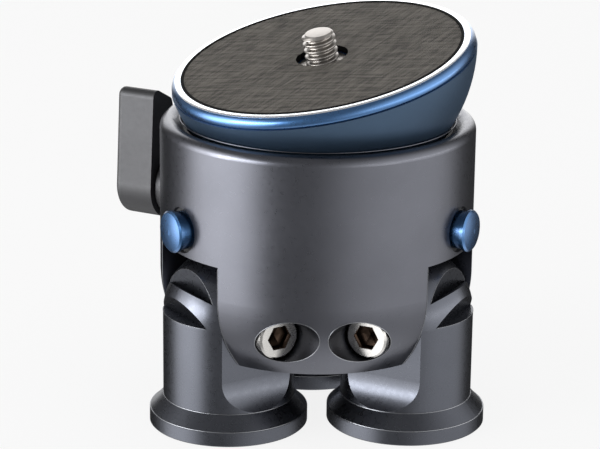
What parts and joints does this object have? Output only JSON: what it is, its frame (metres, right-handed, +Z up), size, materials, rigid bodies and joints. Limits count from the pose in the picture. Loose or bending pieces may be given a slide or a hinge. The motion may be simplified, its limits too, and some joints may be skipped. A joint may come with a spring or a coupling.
{
  "type": "tripod leveling head",
  "caption": "Compact leveling head: a blue half ball with a camera stud and ribbed pad, clamped by a lever in a round housing over short legs that swing out.",
  "frame": {"origin": "on the housing's axis, in the plane that the feet stand on", "axes": "+Z up along the housing's axis, front (the wide lobe with two pivot pockets) towards -Y, +X to the right"},
  "size_m": [0.0707, 0.0647, 0.0754],
  "materials": {
    "body_aluminium": "bead-blasted dark grey anodised",
    "blue_anodised": "satin blue anodised",
    "lever_grey": "satin grey anodised",
    "bare_aluminium": "turned",
    "bright_steel": "bright stainless",
    "spring_steel": "oiled",
    "bronze": "plain bearing bronze",
    "black_plastic": "matt",
    "pad_rubber": "ribbed matt"
  },
  "bodies": {
    "base": {"housing": "body_aluminium", "seat_ring": "black_plastic", "shaft_bush": "bronze", "pilot_bush": "bronze", "lever_collar": "lever_grey", "pivot_sleeves": "bright_steel", "pivot_screws": "bright_steel", "button_guides": "black_plastic", "disc_springs": "spring_steel", "draw_bolt": "bright_steel", "draw_nut": "bright_steel"},
    "swivel": {"clamp_cup": "bare_aluminium"},
    "ball": {"ball_shell": "blue_anodised", "top_plate": "blue_anodised", "plate_screws": "bright_steel", "rubber_pad": "pad_rubber", "camera_stud": "bright_steel"},
    "clamp_lever": {"lever": "lever_grey", "cam_shaft": "bright_steel", "lever_screw": "bright_steel"},
    "leg_left_body": {"leg_left": "body_aluminium", "leg_bush_left": "bronze", "foot_insert_left": "bright_steel"},
    "button_left_body": {"button_left": "blue_anodised"},
    "latch_left_body": {"latch_left": "bright_steel", "latch_spring_left": "spring_steel"},
    "leg_right_body": {"leg_right": "body_aluminium", "leg_bush_right": "bronze", "foot_insert_right": "bright_steel"},
    "button_right_body": {"button_right": "blue_anodised"},
    "latch_right_body": {"latch_right": "bright_steel", "latch_spring_right": "spring_steel"},
    "leg_back_body": {"leg_back": "body_aluminium", "leg_bush_back": "bronze", "foot_insert_back": "bright_steel"},
    "button_back_body": {"button_back": "blue_anodised"},
    "latch_back_body": {"latch_back": "bright_steel", "latch_spring_back": "spring_steel"}
  },
  "joints": [
    {"name": "ball_turn", "type": "hinge", "parent": "base", "child": "swivel", "pos_m": [0, 0, 0.072], "axis": [0, 0, 1], "continuous": true},
    {"name": "ball_tilt", "type": "hinge", "parent": "swivel", "child": "ball", "pos_m": [0, 0, 0.072], "axis": [0.549, -0.8358, 0], "range_deg": [-28.2, 1.8]},
    {"name": "lever_turn", "type": "hinge", "parent": "base", "child": "clamp_lever", "pos_m": [0, 0, 0.0394], "axis": [-0.866, 0.5, 0], "range_deg": [0, 85]},
    {"name": "leg_left_swing", "type": "hinge", "parent": "base", "child": "leg_left_body", "pos_m": [-0.01697, -0.0098, 0.0218], "axis": [-0.5, 0.866, 0], "range_deg": [0, 80]},
    {"name": "button_left_press", "type": "slide", "parent": "base", "child": "button_left_body", "axis": [0.866, 0.5, 0], "range_m": [0, 0.0015], "stiffness_N_per_m": 400, "springref_m": -0.002},
    {"name": "latch_left_lift", "type": "slide", "parent": "base", "child": "latch_left_body", "axis": [0, 0, 1], "range_m": [0, 0.0015], "deforming": ["latch_spring_left"]},
    {"name": "leg_right_swing", "type": "hinge", "parent": "base", "child": "leg_right_body", "pos_m": [0.01697, -0.0098, 0.0218], "axis": [-0.5, -0.866, 0], "range_deg": [0, 80]},
    {"name": "button_right_press", "type": "slide", "parent": "base", "child": "button_right_body", "axis": [-0.866, 0.5, 0], "range_m": [0, 0.0015], "stiffness_N_per_m": 400, "springref_m": -0.002},
    {"name": "latch_right_lift", "type": "slide", "parent": "base", "child": "latch_right_body", "axis": [0, 0, 1], "range_m": [0, 0.0015], "deforming": ["latch_spring_right"]},
    {"name": "leg_back_swing", "type": "hinge", "parent": "base", "child": "leg_back_body", "pos_m": [0, 0.0196, 0.0218], "axis": [1, 0, 0], "range_deg": [0, 80]},
    {"name": "button_back_press", "type": "slide", "parent": "base", "child": "button_back_body", "axis": [0, -1, 0], "range_m": [0, 0.0015], "stiffness_N_per_m": 400, "springref_m": -0.002},
    {"name": "latch_back_lift", "type": "slide", "parent": "base", "child": "latch_back_body", "axis": [0, 0, 1], "range_m": [0, 0.0015], "deforming": ["latch_spring_back"]}
  ],
  "couplings": [
    {"joint": "latch_left_lift", "follows": "button_left_press", "ratio": 1},
    {"joint": "latch_right_lift", "follows": "button_right_press", "ratio": 1},
    {"joint": "latch_back_lift", "follows": "button_back_press", "ratio": 1}
  ]
}
